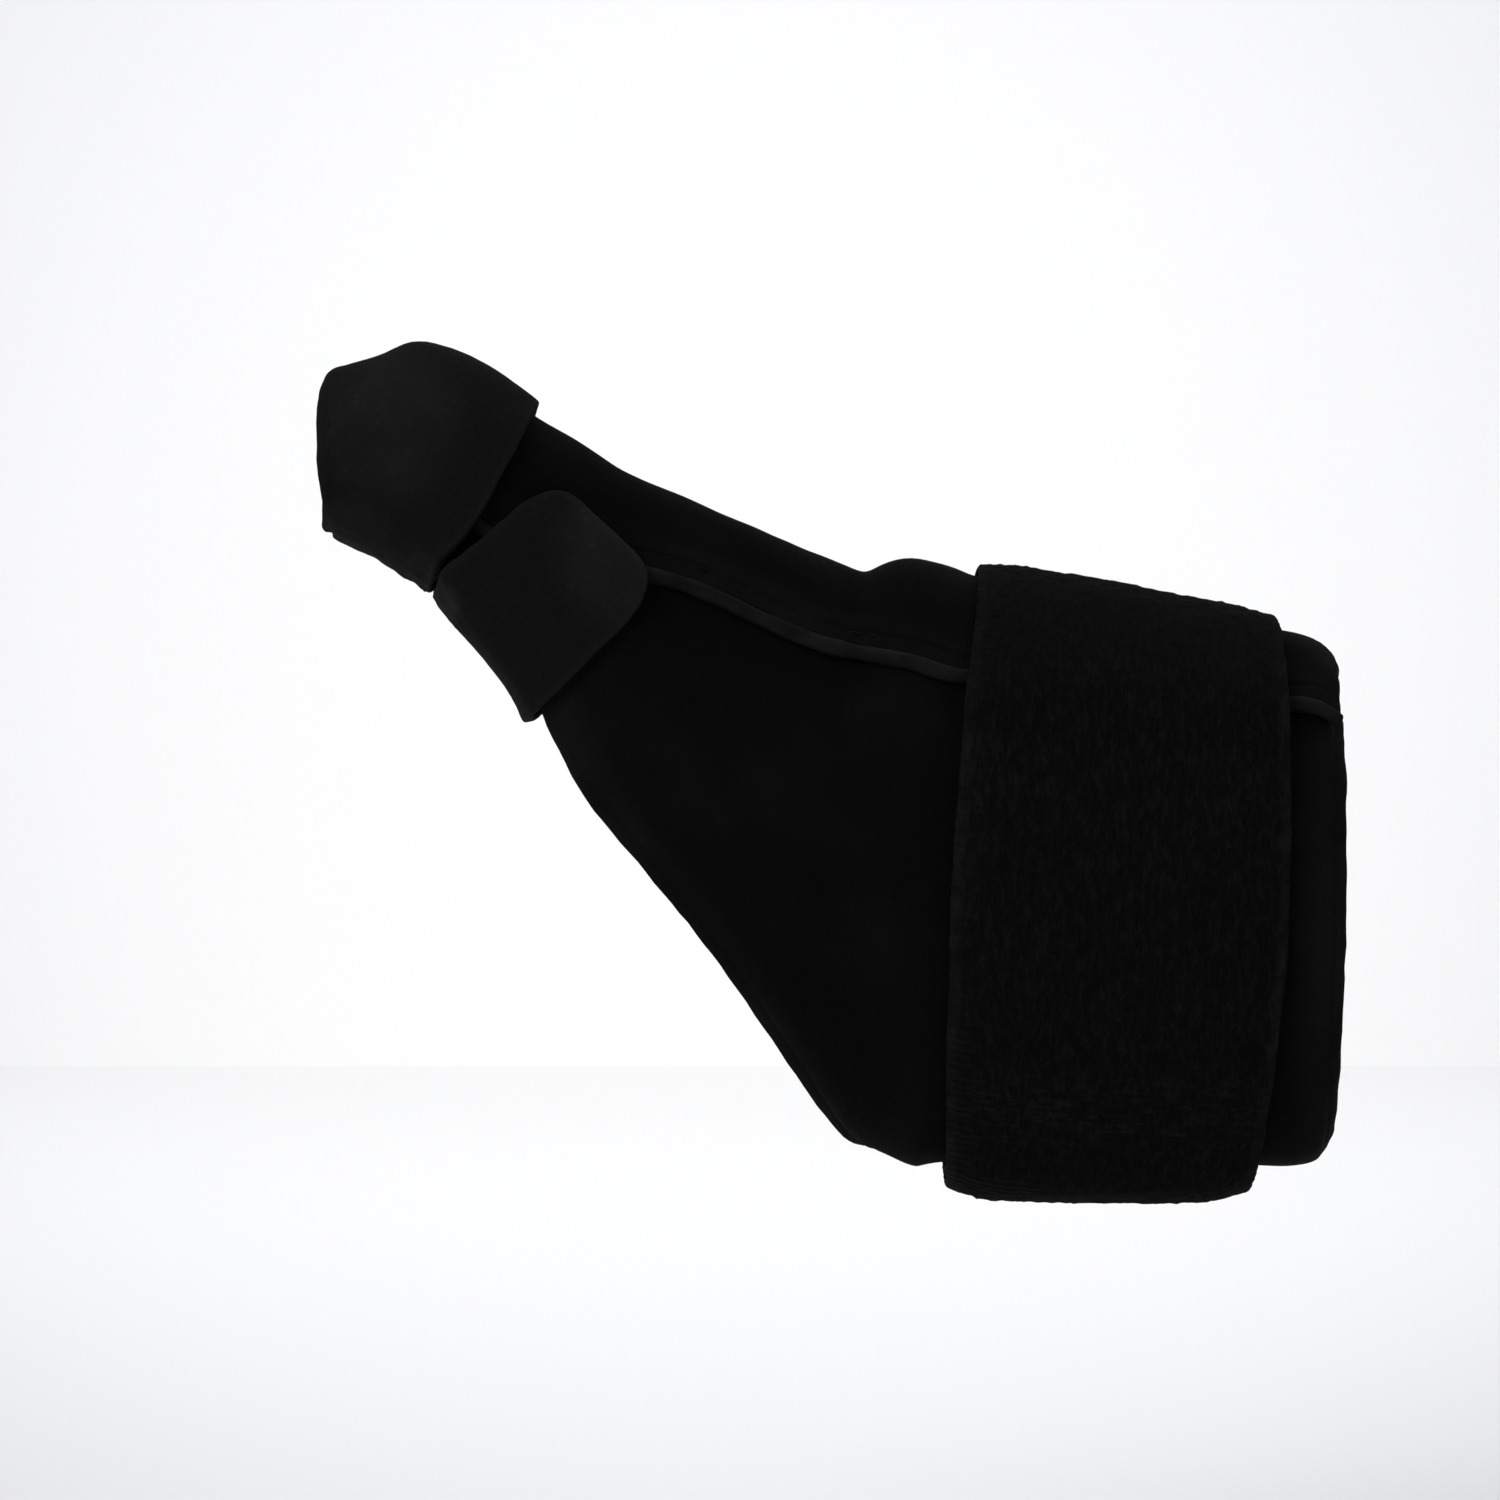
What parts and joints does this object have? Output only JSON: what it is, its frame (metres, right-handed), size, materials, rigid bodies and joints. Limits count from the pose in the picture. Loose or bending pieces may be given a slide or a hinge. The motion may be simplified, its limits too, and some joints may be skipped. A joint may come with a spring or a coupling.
{
  "type": "thumb spica splint",
  "caption": "Soft wrist and thumb spica splint for the right hand: padded wrap with a stay pocket over the thumb, a wide wrist strap and thumb straps.",
  "frame": {"origin": "middle of the wrist in the hollow under the wide strap, where the wearer's wrist holds it", "axes": "+X up the forearm, +Z to the thumb side, -Y out of the palm, the side that faces the viewer"},
  "size_m": [0.1624, 0.0655, 0.1377],
  "materials": {
    "laminate": "smooth black jersey laminated on foam, fine knit, faint sheen",
    "piping": "black bias-cut binding over a cord",
    "wrist_loop": "black woven elastic with woolly loop pile and ribbed selvages",
    "thumb_loop": "charcoal black brushed loop cloth, matte"
  },
  "bodies": {
    "root": {"body_panel": "laminate", "stay_pocket": "laminate", "pocket_piping": "piping", "wrist_strap": "wrist_loop", "lower_thumb_strap": "thumb_loop", "upper_thumb_strap": "thumb_loop"}
  },
  "joints": []
}
